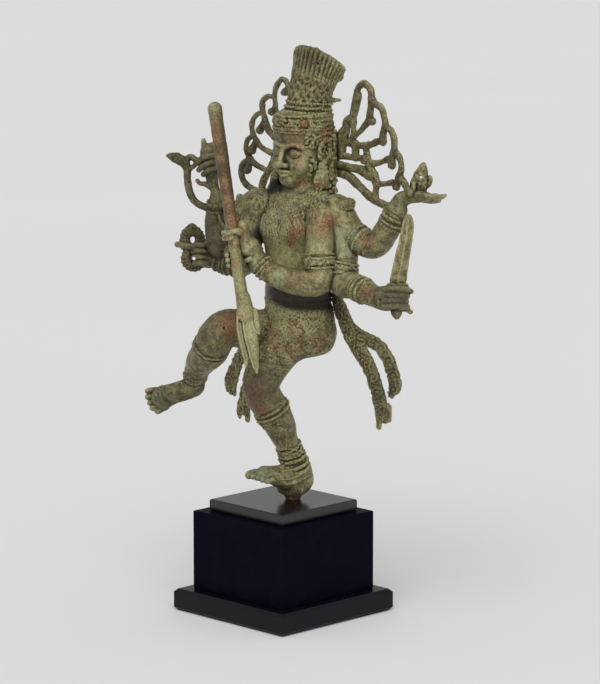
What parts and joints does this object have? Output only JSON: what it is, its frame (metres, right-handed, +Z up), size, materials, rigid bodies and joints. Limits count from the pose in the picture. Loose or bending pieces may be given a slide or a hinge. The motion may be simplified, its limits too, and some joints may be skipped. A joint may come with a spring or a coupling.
{
  "type": "shiva figure",
  "caption": "Cast bronze dancing god with many arms, a fan of hair locks, cloth tails and a trident, standing on one foot on a stepped black wooden plinth.",
  "frame": {"origin": "middle of the plinth's underside", "axes": "+Z up, the figure faces -Y, and its own left hand side is +X"},
  "size_m": [0.203, 0.1046, 0.3812],
  "materials": {
    "black_wood": "satin black paint",
    "bronze": "old cast surface, green and brown patina",
    "worn_bronze": "old cast surface, thinner yellow-green patina"
  },
  "bodies": {
    "root": {"plinth_foot_board": "black_wood", "plinth_block": "black_wood", "plinth_top_board": "black_wood", "figure": "bronze", "trident": "worn_bronze"}
  },
  "joints": []
}
